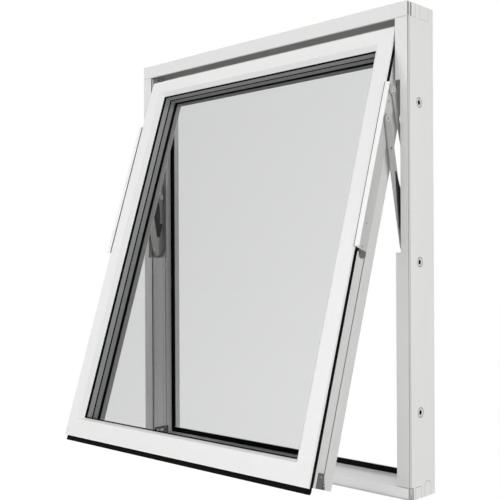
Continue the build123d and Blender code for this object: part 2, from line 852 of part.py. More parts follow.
def write_arms():
    write_both("hinge_plates", open_out(hinge_plate_piece()))
    write_both("side_covers", open_out(side_cover()))
    write_both("main_arms", main_arm())
    write_both("stay_links", stay_link())
    write_both("child_catches", child_catch())
    write_both("arm_pins", *arm_pins())
    write_both("guide_shoes", guide_shoe())
    write_both("shoe_brackets", shoe_bracket())


os.makedirs("parts", exist_ok=True)
write_frame()
write_sash()
write_arms()
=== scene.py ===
"""Looks of a top-guided reversible window whose sash is pushed open at the foot.

Everything is in metres in the CAD frame: X to the right seen from outdoors, Y into the building, Z up.
The classes of the added pieces hold their sizes in millimetres.
"""

import logging
import math
from dataclasses import dataclass
from enum import Enum
from typing import Callable

import bmesh
import bpy
import numpy as np
from mathutils import Euler, Matrix, Vector


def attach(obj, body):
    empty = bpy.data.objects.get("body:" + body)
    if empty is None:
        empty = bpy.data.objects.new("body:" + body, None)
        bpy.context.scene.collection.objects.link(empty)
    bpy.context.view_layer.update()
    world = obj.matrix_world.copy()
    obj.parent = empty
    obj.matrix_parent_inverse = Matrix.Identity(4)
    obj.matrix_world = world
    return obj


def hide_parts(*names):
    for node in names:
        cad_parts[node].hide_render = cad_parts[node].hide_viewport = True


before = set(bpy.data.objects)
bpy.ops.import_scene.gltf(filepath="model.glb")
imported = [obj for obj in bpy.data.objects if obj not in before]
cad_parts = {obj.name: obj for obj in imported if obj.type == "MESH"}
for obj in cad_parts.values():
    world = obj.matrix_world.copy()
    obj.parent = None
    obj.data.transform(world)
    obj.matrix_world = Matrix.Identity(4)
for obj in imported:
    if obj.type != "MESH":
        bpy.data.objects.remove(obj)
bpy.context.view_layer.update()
LOG = logging.getLogger("window")
Pair = tuple[float, float]
Triple = tuple[float, float, float]
Profile = tuple[Pair, ...]
MM = 0.001
RIGHT: Triple = (1.0, 0.0, 0.0)
ASLANT: Triple = (0.0, 0.6, 0.8)
WHITE = (1.0, 1.0, 1.0, 1.0)
SHARP = math.radians(38.0)
CORE = 0.05


# Shader writing

class Value:
    """A socket that carries a number, with arithmetic written as Python expressions."""

    def __init__(self, tree: bpy.types.NodeTree, socket: bpy.types.NodeSocket) -> None:
        """Wrap a socket of a tree."""
        self.tree = tree
        self.socket = socket

    def _math(self, operation: str, first: "Value | float", second: "Value | float") -> "Value":
        """Add one Math node.

        Args:
            operation: the node's operation.
            first: left operand.
            second: right operand.

        Returns:
            The node's result.
        """
        node = self.tree.nodes.new("ShaderNodeMath")
        node.operation = operation
        for place, operand in zip(node.inputs, (first, second)):
            if isinstance(operand, Value):
                self.tree.links.new(operand.socket, place)
            else:
                place.default_value = operand
        return Value(self.tree, node.outputs[0])

    def __add__(self, other: "Value | float") -> "Value":
        """Sum."""
        return self._math("ADD", self, other)

    def __radd__(self, other: float) -> "Value":
        """Sum with a number on the left."""
        return self._math("ADD", other, self)

    def __sub__(self, other: "Value | float") -> "Value":
        """Difference."""
        return self._math("SUBTRACT", self, other)

    def __rsub__(self, other: float) -> "Value":
        """Difference from a number."""
        return self._math("SUBTRACT", other, self)

    def __mul__(self, other: "Value | float") -> "Value":
        """Product."""
        return self._math("MULTIPLY", self, other)

    def __rmul__(self, other: float) -> "Value":
        """Product with a number on the left."""
        return self._math("MULTIPLY", other, self)

    def __pow__(self, other: float) -> "Value":
        """Power."""
        return self._math("POWER", self, other)

    def over(self, limit: float) -> "Value":
        """1 where the value is over a limit, else 0."""
        return self._math("GREATER_THAN", self, limit)

    def under(self, limit: float) -> "Value":
        """1 where the value is under a limit, else 0."""
        return self._math("LESS_THAN", self, limit)


class Nodes:
    """A node tree, and the one way in which nodes other than Math are added to it."""

    def __init__(self, tree: bpy.types.NodeTree) -> None:
        """Wrap a tree."""
        self.tree = tree

    def node(self, kind: str, settings: dict | None = None, values: dict | None = None) -> bpy.types.Node:
        """Add a node.

        Args:
            kind: the node's type, without its ShaderNode prefix.
            settings: the node's own settings, set first.
            values: what its input sockets hold, by name or number: numbers, tuples or links.

        Returns:
            The node.
        """
        made = self.tree.nodes.new("ShaderNode" + kind)
        for key, value in (settings or {}).items():
            setattr(made, key, value)
        for key, value in (values or {}).items():
            self.feed(made.inputs[key], value)
        return made

    def feed(self, place: bpy.types.NodeSocket, value: object) -> None:
        """Link a socket or set its own value.

        Args:
            place: the socket that is fed.
            value: a Value or a socket to link, or a number or a tuple to set.
        """
        source = value.socket if isinstance(value, Value) else value
        if isinstance(source, bpy.types.NodeSocket):
            self.tree.links.new(source, place)
        else:
            place.default_value = source

    def value(self, made: bpy.types.Node, output: str) -> Value:
        """One of a node's outputs as a value."""
        return Value(self.tree, made.outputs[output])

    def seen(self) -> Value:
        """1 for what the camera sees straight or through glass, else 0."""
        path = self.node("LightPath")
        return (self.value(path, "Is Camera Ray") + self.value(path, "Is Transmission Ray")).over(0.5)


class Shading(Nodes):
    """A material's node tree, started with a Principled shader."""

    def __init__(self, name: str) -> None:
        """Make a material of that name."""
        self.material = bpy.data.materials.new(name)
        self.material.use_nodes = True
        super().__init__(self.material.node_tree)
        self.surface = self.tree.nodes["Principled BSDF"]
        self.output = self.tree.nodes["Material Output"]

    def set(self, **values: object) -> None:
        """Set the Principled shader's sockets, with underscores for the spaces in their names."""
        for key, value in values.items():
            self.feed(self.surface.inputs[key.replace("_", " ")], value)

    def show(self, shader: bpy.types.Node) -> None:
        """Make a shader node the material's surface."""
        self.feed(self.output.inputs["Surface"], shader.outputs[0])

    def place(self, stretch: Triple = (1.0, 1.0, 1.0)) -> bpy.types.NodeSocket:
        """Object coordinates, scaled along each axis."""
        coordinates = self.node("TexCoord").outputs["Object"]
        return self.node("Mapping", values={"Vector": coordinates, "Scale": stretch}).outputs["Vector"]

    def axes(self) -> tuple[Value, ...]:
        """Object coordinates X, Y and Z, each as a value."""
        parts = self.node("SeparateXYZ", values={"Vector": self.place()})
        return tuple(self.value(parts, axis) for axis in "XYZ")

    def noise(self, size: float, detail: float = 2.0, stretch: Triple = (1.0, 1.0, 1.0)) -> Value:
        """Noise whose patches are about as wide as a size in metres.

        Args:
            size: width of a patch.
            detail: octaves of finer noise.
            stretch: factor along each axis, under 1 for longer patches.

        Returns:
            A value around 0.5.
        """
        values = {"Vector": self.place(stretch), "Scale": 1.0 / size, "Detail": detail}
        return self.value(self.node("TexNoise", values=values), "Fac")

    def blend(self, share: Value, first: Triple | bpy.types.NodeSocket,
              second: Triple | bpy.types.NodeSocket) -> bpy.types.NodeSocket:
        """A colour between two.

        Args:
            share: 0 for the first colour to 1 for the second.
            first: a colour or a socket that carries one.
            second: another.

        Returns:
            The mixed colour's socket.
        """
        made = self.node("Mix", {"data_type": "RGBA"}, {0: share})
        for number, colour in ((6, first), (7, second)):
            self.feed(made.inputs[number], (*colour, 1.0) if isinstance(colour, tuple) else colour)
        return made.outputs[2]

    def bump(self, height: Value, depth: float) -> bpy.types.NodeSocket:
        """A normal from a height between 0 and 1, whose range is a depth in metres."""
        return self.node("Bump", values={"Height": height, "Distance": depth}).outputs["Normal"]


class Along(Enum):
    """Which way a piece runs, as the stretch of its grain."""

    ACROSS = (0.06, 1.0, 1.0)
    UPRIGHT = (1.0, 1.0, 0.06)


@dataclass(frozen=True)
class PaintedTimber:
    """Sprayed white paint over fine-grained pine: the grain barely shows in the gloss.

    Grain, peel and cloud are each a width in metres and a detail, and uneven says how much the grain
    and the clouds add to the roughness. Pocket-shaded timber has painted shade, a greyer tone, in its
    milled arm pocket and on the head's soffit, and seamed timber a dark line along the foot of its ends.
    """

    name: str
    run: Along
    colour: Triple = (0.925, 0.925, 0.915)
    shade: Triple = (0.895, 0.895, 0.885)
    roughness: float = 0.42
    gloss: float = 0.25
    grain: Pair = (0.0035, 4.0)
    peel: Pair = (0.0016, 2.0)
    cloud: Pair = (0.09, 3.0)
    uneven: Pair = (0.06, 0.08)
    grain_in_tone: float = 0.3
    grain_in_relief: float = 0.6
    relief: float = 0.00006
    # Painted shade: a darker tone in the milled arm pocket and on the head's soffit, where shade falls.
    pocket_shaded: bool = False
    pocket_shade: Triple = (0.60, 0.60, 0.595)
    pocket_corner: Triple = (0.4745, -0.0005, 0.5915)
    pocket_top: float = 1.157
    seamed: bool = False
    seam_corner: Pair = (0.4945, 1.1567)
    seam_tone: Triple = (0.45, 0.45, 0.44)

    def make(self) -> bpy.types.Material:
        """The material."""
        s = Shading(self.name)
        grain = s.noise(*self.grain, self.run.value)
        peel = s.noise(*self.peel)
        cloud = s.noise(*self.cloud)
        tone = cloud * (1.0 - self.grain_in_tone) + grain * self.grain_in_tone
        paint = s.blend(tone, self.shade, self.colour)
        if self.seamed:
            x, _, z = s.axes()
            side, height = self.seam_corner
            paint = s.blend((x * x).over(side ** 2) * z.under(height), paint, self.seam_tone)
        # Painted shade: the pocket and the head's soffit are painted darker.
        if self.pocket_shaded:
            x, y, z = s.axes()
            side, back, foot = self.pocket_corner
            pocket = (x * x).under(side ** 2) * y.under(back) * (z.over(foot) - z.over(self.pocket_top))
            paint = s.blend(pocket, paint, self.pocket_shade)
        s.set(Base_Color=paint,
              Roughness=self.roughness + grain * self.uneven[0] + cloud * self.uneven[1],
              Specular_IOR_Level=self.gloss,
              Normal=s.bump(grain * self.grain_in_relief + peel * (1.0 - self.grain_in_relief), self.relief))
        return s.material


@dataclass(frozen=True)
class Skin:
    """A finish whose tone drifts between two colours in clouds and whose fine skin shows as relief.

    A cloud and a skin are each a width in metres and a detail, and uneven says how much the skin and
    the clouds add to the roughness.
    """

    name: str
    colour: Triple
    shade: Triple
    roughness: float
    metallic: float = 0.0
    gloss: float = 0.5
    cloud: Pair = (0.02, 3.0)
    skin: Pair = (0.0007, 2.0)
    stretch: Triple = (1.0, 1.0, 1.0)
    uneven: Pair = (0.1, 0.0)
    relief: float = 0.00004

    def make(self) -> bpy.types.Material:
        """The material."""
        s = Shading(self.name)
        skin = s.noise(*self.skin, self.stretch)
        cloud = s.noise(*self.cloud)
        s.set(Base_Color=self.tone(s, cloud),
              Metallic=self.metallic,
              Roughness=self.roughness + skin * self.uneven[0] + cloud * self.uneven[1],
              Specular_IOR_Level=self.gloss,
              Normal=s.bump(skin, self.relief))
        return s.material

    def tone(self, s: Shading, cloud: Value) -> bpy.types.NodeSocket:
        """The base colour.

        Args:
            s: the material's nodes.
            cloud: the noise of the clouds.

        Returns:
            The colour in the clouds and the shade between them.
        """
        return s.blend(cloud, self.shade, self.colour)


@dataclass(frozen=True)
class PowderCoat(Skin):
    """White powder coat on folded aluminium, with its fine orange peel."""

    roughness: float = 0.38
    gloss: float = 0.25
    cloud: Pair = (0.12, 2.0)
    skin: Pair = (0.0011, 2.0)
    uneven: Pair = (0.08, 0.04)


@dataclass(frozen=True)
class Rubber(Skin):
    """Black weather rubber with extrusion lines and a dusty bloom."""

    colour: Triple = (0.006, 0.006, 0.006)
    shade: Triple = (0.003, 0.003, 0.003)
    roughness: float = 0.75
    gloss: float = 0.07
    cloud: Pair = (0.018, 5.0)
    skin: Pair = (0.0008, 2.0)
    uneven: Pair = (0.0, 0.2)
    relief: float = 0.00002


@dataclass(frozen=True)
class Metal(Skin):
    """A metal with a drawn or rolled surface."""

    metallic: float = 1.0
    cloud: Pair = (0.03, 4.0)
    skin: Pair = (0.0012, 3.0)
    stretch: Triple = (1.0, 1.0, 0.05)
    uneven: Pair = (0.12, 0.08)
    relief: float = 0.00002


@dataclass(frozen=True)
class Plastic(Skin):
    """Moulded plastic with a spark-eroded skin."""

    roughness: float = 0.45


@dataclass(frozen=True)
class CoverCoat(PowderCoat):
    """The side covers' white coat, with painted shade on the web behind the outdoor leaf as a greyer tone.
    """

    colour: Triple = (0.95, 0.95, 0.945)
    # Painted shade: the web's greyer tone stands for the shade it lies in.
    shade: Triple = (0.60, 0.60, 0.595)
    uneven: Pair = (0.08, 0.0)
    tilt: float = math.radians(17.5)
    web_from: float = -0.39185

    def tone(self, s: Shading, cloud: Value) -> bpy.types.NodeSocket:
        """Painted shade where y cos tilt - z sin tilt, the depth into the sash, passes a limit.

        Args:
            s: the material's nodes.
            cloud: the noise of the clouds, which this coat does without.

        Returns:
            The colour in front and the painted shade behind.
        """
        _, y, z = s.axes()
        behind = (y * math.cos(self.tilt) - z * math.sin(self.tilt)).over(self.web_from)
        return s.blend(behind, self.colour, self.shade)


@dataclass(frozen=True)
class CapPlastic(Plastic):
    """Grey moulded cap whose raised wedge, the part farthest from the middle, is paler."""

    colour: Triple = (0.66, 0.66, 0.66)
    shade: Triple = (0.42, 0.42, 0.42)
    wedge_from: float = 0.4941

    def tone(self, s: Shading, cloud: Value) -> bpy.types.NodeSocket:
        """The colour where x, either way, is past the wedge's start.

        Args:
            s: the material's nodes.
            cloud: the noise of the clouds, which this plastic does without.

        Returns:
            The colour on the wedge and the shade on the field.
        """
        x, _, _ = s.axes()
        return s.blend((x * x).over(self.wedge_from ** 2), self.shade, self.colour)


@dataclass(frozen=True)
class FloatGlass:
    """A coated pane: clear, faintly grey, a little darker where it is seen more from the side."""

    name: str
    tint: Triple = (0.985, 0.987, 0.986)
    dimmed: Triple = (0.08, 0.08, 0.08)
    loss: float = 0.026
    loss_aside: float = 0.09
    polish: float = 0.02
    gloss_from: float = 0.45
    gloss: float = 1.5

    def make(self) -> bpy.types.Material:
        """The material: a film that passes light straight on, with gloss near the grazing angle.

        The share of gloss is gloss times the square of how far the facing value is past gloss_from.
        """
        s = Shading(self.name)
        s.tree.nodes.remove(s.surface)
        clear = s.node("BsdfTransparent", values={"Color": (*self.tint, 1.0)})
        dim = s.node("BsdfTransparent", values={"Color": (*self.dimmed, 1.0)})
        gloss = s.node("BsdfGlossy", values={"Roughness": self.polish, "Color": WHITE})
        facing = s.value(s.node("LayerWeight", values={"Blend": 0.5}), "Facing")
        lost = facing * self.loss_aside + self.loss
        film = s.node("MixShader", values={0: lost, 1: clear.outputs[0], 2: dim.outputs[0]})
        aside = (facing - self.gloss_from) * facing.over(self.gloss_from)
        glossy = aside ** 2.0 * self.gloss
        s.show(s.node("MixShader", values={0: glossy, 1: film.outputs[0], 2: gloss.outputs[0]}))
        return s.material


class Palette:
    """The window's materials, each made once."""

    def __init__(self) -> None:
        """Make them all."""
        # Painted shade: the sash's timber paint is a darker copy of the frame's.
        sash_shade_tones = {"colour": (0.75, 0.75, 0.74), "shade": (0.72, 0.72, 0.71)}
        self.jamb_paint = PaintedTimber("frame_paint_upright", Along.UPRIGHT, pocket_shaded=True).make()
        self.sill_paint = PaintedTimber("frame_paint_across", Along.ACROSS).make()
        # Painted shade: the head's dark pocket tone falls on its soffit in the recess above the sash.
        self.head_paint = PaintedTimber("head_paint", Along.ACROSS, pocket_shaded=True, seamed=True,
                                        pocket_shade=(0.32, 0.32, 0.315)).make()
        self.stile_paint = PaintedTimber("sash_paint_upright", Along.UPRIGHT, **sash_shade_tones).make()
        self.rail_paint = PaintedTimber("sash_paint_across", Along.ACROSS, **sash_shade_tones).make()
        # Painted shade and painted light: the frame's coat is a darker and the sill's a paler copy of the
        # sash's white coat.
        self.frame_coat_painted_shade = PowderCoat("frame_coat_painted_shade", (0.775, 0.775, 0.77), (0.755, 0.755, 0.75)).make()
        self.sill_coat_painted_light = PowderCoat("sill_coat_painted_light", (0.97, 0.97, 0.965), (0.95, 0.95, 0.945)).make()
        self.sash_coat = PowderCoat("sash_coat", (0.89, 0.89, 0.885), (0.87, 0.87, 0.865)).make()
        self.cover_coat = CoverCoat("cover_coat").make()
        self.rubber = Rubber("weather_rubber").make()
        self.steel = Metal("zinc_plated_steel", (0.52, 0.52, 0.51), (0.43, 0.43, 0.42), 0.40).make()
        self.link_steel = Metal("link_steel", (0.55, 0.55, 0.54), (0.48, 0.48, 0.47), 0.45, 0.5).make()
        self.plate_steel = Metal("plate_steel", (0.30, 0.30, 0.295), (0.26, 0.26, 0.255), 0.40).make()
        self.aluminium = Metal("mill_aluminium", (0.78, 0.79, 0.80), (0.70, 0.71, 0.72), 0.30).make()
        self.handle = Metal("satin_anodised", (0.80, 0.80, 0.80), (0.74, 0.74, 0.74), 0.28).make()
        self.zinc = Metal("dark_zinc_casting", (0.20, 0.20, 0.205), (0.16, 0.16, 0.165), 0.45, 0.5).make()
        self.black = Plastic("black_nylon", (0.020, 0.020, 0.021), (0.014, 0.014, 0.014)).make()
        self.grey = Plastic("grey_nylon", (0.30, 0.31, 0.32), (0.26, 0.27, 0.28)).make()
        self.white = Plastic("white_nylon", (0.80, 0.80, 0.79), (0.76, 0.76, 0.75)).make()
        self.mastic = Plastic("grey_mastic", (0.19, 0.19, 0.185), (0.15, 0.15, 0.145), 0.6).make()
        self.spacer = Plastic("warm_edge_spacer", (0.46, 0.46, 0.465), (0.42, 0.42, 0.425), 0.4).make()
        self.cap = CapPlastic("two_tone_cap").make()
        self.glass = FloatGlass("float_glass").make()


# The CAD nodes

@dataclass(frozen=True)
class Soften:
    """Rounded edges for a CAD node, by modifiers that leave its mesh alone."""

    radius: float
    segments: int = 2
    angle: float = 30.0
    weld: float = 0.00001
    flatness: float = 1.0

    def apply(self, piece: bpy.types.Object) -> None:
        """Weld the facets, join those in one plane and round what is left."""
        piece.modifiers.new("weld", "WELD").merge_threshold = self.weld
        flat = piece.modifiers.new("flat", "DECIMATE")
        flat.decimate_type = "DISSOLVE"
        flat.angle_limit = math.radians(self.flatness)
        edge = piece.modifiers.new("edge", "BEVEL")
        edge.width = self.radius
        edge.segments = self.segments
        edge.limit_method = "ANGLE"
        edge.angle_limit = math.radians(self.angle)
        edge.harden_normals = True
        edge.use_clamp_overlap = True


def dress(names: list[str], material: bpy.types.Material, soften: Soften | None = None) -> None:
    """Give CAD nodes a material and, where wanted, rounded edges.

    Args:
        names: the nodes.
        material: what they are made of.
        soften: how their edges are rounded.
    """
    for name in names:
        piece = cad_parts[name]
        piece.data.materials.clear()
        piece.data.materials.append(material)
        if soften:
            soften.apply(piece)
        LOG.info("dressed %s with %s", name, material.name)


@dataclass(frozen=True)
class FrameParts:
    """The frame's boards, claddings, gaskets and fittings."""

    palette: Palette
    board_edge: Soften = Soften(0.0012)
    sheet_edge: Soften = Soften(0.0006)
    fitting_edge: Soften = Soften(0.0004)

    def dress(self) -> None:
        """Give each its finish."""
        p = self.palette
        dress(["frame_jamb_left", "frame_jamb_right"], p.jamb_paint, self.board_edge)
        dress(["frame_sill"], p.sill_paint, self.board_edge)
        dress(["frame_head"], p.head_paint, self.board_edge)
        dress(["head_cladding", "jamb_cladding_left", "jamb_cladding_right"], p.frame_coat_painted_shade, self.sheet_edge)
        dress(["sill_cladding"], p.sill_coat_painted_light, self.sheet_edge)
        dress(["sill_end_caps"], p.cap)
        dress(["frame_gasket_head", "frame_gasket_jambs", "frame_gasket_sill"], p.rubber)
        dress(["frame_plates"], p.steel, self.fitting_edge)
        dress(["lock_keeps"], p.zinc, self.fitting_edge)
        dress(["guide_tracks"], p.aluminium)
        dress(["fixing_sleeves"], p.grey)


@dataclass(frozen=True)
class SashParts:
    """The sash's timber, claddings, glazing, seals and lock."""

    palette: Palette
    board_edge: Soften = Soften(0.0012)
    sheet_edge: Soften = Soften(0.0006)
    fitting_edge: Soften = Soften(0.0004)

    def dress(self) -> None:
        """Give each its finish."""
        p = self.palette
        dress(["sash_stile_left", "sash_stile_right"], p.stile_paint, self.board_edge)
        dress(["sash_top_rail", "sash_bottom_rail"], p.rail_paint, self.board_edge)
        dress([f"sash_cladding_{side}" for side in ("top", "bottom", "left", "right")], p.sash_coat,
              self.sheet_edge)
        dress(["side_covers"], p.cover_coat, self.sheet_edge)
        dress(["glass_outer", "glass_middle", "glass_inner"], p.glass)
        dress(["glass_spacers"], p.spacer, self.fitting_edge)
        dress(["glazing_bead_outer", "glazing_bead_inner"], p.rubber)
        dress(["sash_seal_top", "sash_seal_sides", "sash_drip_seal"], p.rubber)
        dress(["lock_rollers"], p.steel, self.fitting_edge)
        dress(["lock_plates"], p.zinc)
        dress(["handle_plate", "handle_lever"], p.handle)


@dataclass(frozen=True)
class ArmParts:
    """The side arms, their links and catches, and what they are fixed to on the sash."""

    palette: Palette
    edge: Soften = Soften(0.0004)

    def dress(self) -> None:
        """Give each its finish."""
        p = self.palette
        dress(["main_arms", "stay_links"], p.link_steel, self.edge)
        dress(["hinge_plates"], p.plate_steel, self.edge)
        dress(["arm_pins", "shoe_brackets"], p.steel, self.edge)
        dress(["child_catches"], p.black)
        dress(["guide_shoes"], p.grey)


# Surfaces worked out from formulas

@dataclass(frozen=True)
class Window:
    """Measures of the window that the added pieces share, in millimetres, and the places they give."""

    face: float = -61.0
    half_width: float = 495.0
    height: float = 1190.0
    head_soffit: float = 1156.0
    head_lip: float = 1154.0
    sill_top: float = 33.0
    notch: Pair = (592.0, 1004.5)
    opening_half: float = 461.0
    pocket_floor: float = 474.0
    plate_inner: float = 471.0
    stile_half: float = 453.0
    web_outer: float = 460.0
    arm: Pair = (463.0, 466.0)
    tilt: float = math.radians(17.5)
    sash_setback: float = 8.3
    sash_top: float = 1136.3
    cover: Pair = (148.0, 557.0)
    sight_half: float = 400.5
    sight_top: float = 48.2
    sight_bottom: float = 1045.0
    handle_down: float = 1071.5

    def on_frame(self, x: np.ndarray | float, setback: np.ndarray | float,
                 height: np.ndarray | float) -> np.ndarray:
        """Places on the frame.

        Args:
            x: distance to the right of the middle.
            setback: distance behind the outdoor face.
            height: height above the sill's underside.

        Returns:
            The points in metres, with x, y and z along the last axis.
        """
        return np.stack(np.broadcast_arrays(x, self.face + setback, height), axis=-1) * MM

    def on_sash(self, x: np.ndarray | float, down: np.ndarray | float,
                depth: np.ndarray | float) -> np.ndarray:
        """Places on the open sash.

        Args:
            x: distance to the right of the middle.
            down: distance below the sash's top edge, along the sash.
            depth: distance behind its outdoor face, square to the sash.

        Returns:
            The points in metres, with x, y and z along the last axis.
        """
        y = self.face + self.sash_setback - down * math.sin(self.tilt) + depth * math.cos(self.tilt)
        z = self.sash_top - down * math.cos(self.tilt) - depth * math.sin(self.tilt)
        return np.stack(np.broadcast_arrays(x, y, z), axis=-1) * MM

    def up_frame(self, section: np.ndarray, height: float) -> np.ndarray:
        """A section of (x, setback) rows at one height on the frame."""
        return self.on_frame(section[:, 0], section[:, 1], height)

    def into_frame(self, section: np.ndarray, setback: float) -> np.ndarray:
        """A section of (x, height) rows at one setback in the frame."""
        return self.on_frame(section[:, 0], setback, section[:, 1])

    def down_sash(self, section: np.ndarray, down: float) -> np.ndarray:
        """A section of (x, depth) rows at one distance below the sash's top edge."""
        return self.on_sash(section[:, 0], down, section[:, 1])


class Shape:
    """A mesh gathered from closed grids of points."""

    def __init__(self, name: str) -> None:
        """Start an empty mesh of that name."""
        self.name = name
        self.points: list[np.ndarray] = []
        self.faces: list[np.ndarray] = []
        self.count = 0

    def add(self, grid: np.ndarray, loop: bool = False) -> None:
        """Add a grid whose rows are rings, joined in quads.

        Args:
            grid: rows by columns by 3, in metres.
            loop: whether the last row joins the first. Without it a face closes each end row.
        """
        rows, columns = grid.shape[:2]
        index = np.arange(rows * columns).reshape(rows, columns) + self.count
        beside = np.roll(index, -1, axis=1)
        quads = np.stack([index, beside, np.roll(beside, -1, axis=0), np.roll(index, -1, axis=0)], axis=-1)
        self.faces.append(quads[:rows if loop else rows - 1].reshape(-1, 4))
        if not loop:
            self.faces.extend([index[:1], index[-1:]])
        self.points.append(grid.reshape(-1, 3))
        self.count += rows * columns

    def place(self, material: bpy.types.Material, slot: str, replaces: str = "",
              mirrored: bool = True) -> bpy.types.Object:
        """Make the object.

        Args:
            material: its material.
            slot: the record's slot that it answers to; not used.
            replaces: a CAD node that it stands for, if any.
            mirrored: whether its mirror image on the left is wanted too.

        Returns:
            The object, with its normals outwards and its shallow edges smooth.
        """
        points = np.concatenate(self.points)
        faces = list(self.faces)
        if mirrored:
            faces += [block + len(points) for block in faces]
            points = np.concatenate([points, points * (-1.0, 1.0, 1.0)])
        mesh = bpy.data.meshes.new(self.name)
        mesh.from_pydata(points.tolist(), [], [face for block in faces for face in block.tolist()])
        shell = bmesh.new()
        shell.from_mesh(mesh)
        bmesh.ops.recalc_face_normals(shell, faces=shell.faces)
        shell.to_mesh(mesh)
        shell.free()
        mesh.shade_smooth()
        mesh.set_sharp_from_angle(angle=SHARP)
        mesh.materials.append(material)
        piece = bpy.data.objects.new(self.name, mesh)
        bpy.context.scene.collection.objects.link(piece)
        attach(piece, "root")
        if replaces:
            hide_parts(replaces)
        LOG.info("placed %s: %d points", self.name, len(points))
        return piece


def box(first: Pair, second: Pair) -> list[Pair]:
    """Corners of a rectangle in order, from its range along each of two axes."""
    return [(first[0], second[0]), (first[1], second[0]), (first[1], second[1]), (first[0], second[1])]


def rounded(corners: list[Pair], radius: float, steps: int = 4, closed: bool = False) -> np.ndarray:
    """A line with its corners rounded by parabolas.

    Each corner is left a radius before it and met again a radius after it, or a third of the way
    along a side that is shorter, on the curve (1-t)(1-t) before + 2t(1-t) corner + tt after.

    Args:
        corners: the line's corners.
        radius: how far from a corner its curve starts.
        steps: points along each curve, less one.
        closed: whether the last corner leads back to the first.

    Returns:
        The points, one row each.
    """
    most = 0.33
    corner = np.array(corners, dtype=float)
    before = np.roll(corner, 1, axis=0) - corner
    after = np.roll(corner, -1, axis=0) - corner
    reach = [np.minimum(radius / np.maximum(np.linalg.norm(side, axis=1), 1e-9), most)[:, None]
             for side in (before, after)]
    start = corner + before * reach[0]
    end = corner + after * reach[1]
    if not closed:
        start[[0, -1]] = corner[[0, -1]]
        end[[0, -1]] = corner[[0, -1]]
    t = np.linspace(0.0, 1.0, steps + 1)[None, :, None]
    curve = (1 - t) ** 2 * start[:, None] + 2 * t * (1 - t) * corner[:, None] + t ** 2 * end[:, None]
    if closed:
        return curve.reshape(-1, 2)
    return np.concatenate([corner[:1], curve[1:-1].reshape(-1, 2), corner[-1:]])


def square_to(way: np.ndarray) -> tuple[np.ndarray, np.ndarray]:
    """Two directions square to one and to each other.

    Args:
        way: a unit vector.

    Returns:
        Its cross product with a slanted line, made one long, and its cross product with that.
    """
    first = np.cross(way, ASLANT)
    first /= np.linalg.norm(first)
    return first, np.cross(way, first)


def lathe(centre: np.ndarray, axis: Triple, profile: np.ndarray, sides: int = 40) -> np.ndarray:
    """A turned form: centre + axis * along + radius * (first * cos a + second * sin a).

    Args:
        centre: where the distances along the axis start, in metres.
        axis: a unit vector.
        profile: (radius, distance along the axis) rows, in millimetres.
        sides: points in each ring.

    Returns:
        A grid with one ring for each row of the profile.
    """
    way = np.array(axis, dtype=float)
    first, second = square_to(way)
    angle = np.linspace(0.0, 2.0 * math.pi, sides, endpoint=False)[:, None]
    circle = first * np.cos(angle) + second * np.sin(angle)
    radius, along = (profile.T * MM)[:, :, None, None]
    return centre + way * along + circle * radius


def turned(corners: list[Pair], edge: float = 0.3) -> np.ndarray:
    """A lathe profile that starts and ends near the axis, with rounded corners.

    Args:
        corners: (radius, distance along the axis) pairs.
        edge: how far from a corner its curve starts.

    Returns:
        The profile's points, one row each.
    """
    ends = [(CORE, corners[0][1])] + list(corners) + [(CORE, corners[-1][1])]
    return rounded(ends, edge, 3)


def raised(rows: Profile, base: float, way: float = 1.0) -> list[Pair]:
    """Profile rows of (radius, height), with their heights counted from a base along or against the axis."""
    return [(radius, base + way * height) for radius, height in rows]


def bar(section: np.ndarray, place: Callable[[np.ndarray, float], np.ndarray], ends: Pair) -> np.ndarray:
    """A straight bar: the section's points at both ends.

    Args:
        section: two coordinates for each point of the section.
        place: gives the points in metres for a section and a distance along the bar.
        ends: where the bar starts and ends.

    Returns:
        A grid of two rows.
    """
    return np.stack([place(section, end) for end in ends])


@dataclass(frozen=True)
class CrossHead:
    """A pan-head screw with a cross recess, as a height over a disc.

    At radius r the dome is rise * sqrt(1 - roundness * (r / radius) squared), and the recess takes its depth
    off where the nearer axis is within half the slot's width and the farther one within its length.
    """

    radius: float = 2.6
    rise: float = 1.2
    slot: float = 0.42
    reach: float = 1.55
    recess: float = 1.0
    sides: int = 56
    rings: int = 16
    blur: float = 0.25
    roundness: float = 0.8
    rim: float = -0.1

    def grid(self, centre: np.ndarray, axis: np.ndarray) -> np.ndarray:
        """The head's points.

        Args:
            centre: middle of the head's seat, in metres.
            axis: unit vector out of the surface.

        Returns:
            A grid of rings from the middle to the rim and down to the seat.
        """
        first, second = square_to(axis)
        radius = np.linspace(0.02, 1.0, self.rings)[:, None] * self.radius
        angle = np.linspace(0.0, 2.0 * math.pi, self.sides, endpoint=False)[None]
        u, v = radius * np.cos(angle), radius * np.sin(angle)
        near, far = np.minimum(abs(u), abs(v)), np.maximum(abs(u), abs(v))
        in_slot = np.clip((self.slot - near) / self.blur + 0.5, 0, 1)
        in_reach = np.clip((self.reach - far) / self.blur + 0.5, 0, 1)
        dome = self.rise * np.sqrt(1 - self.roundness * (radius / self.radius) ** 2)
        height = dome - self.recess * in_slot * in_reach
        height = np.concatenate([height, np.full_like(height[:1], self.rim)])
        u, v = np.concatenate([u, u[-1:]]), np.concatenate([v, v[-1:]])
        return centre + (first * u[..., None] + second * v[..., None] + axis * height[..., None]) * MM


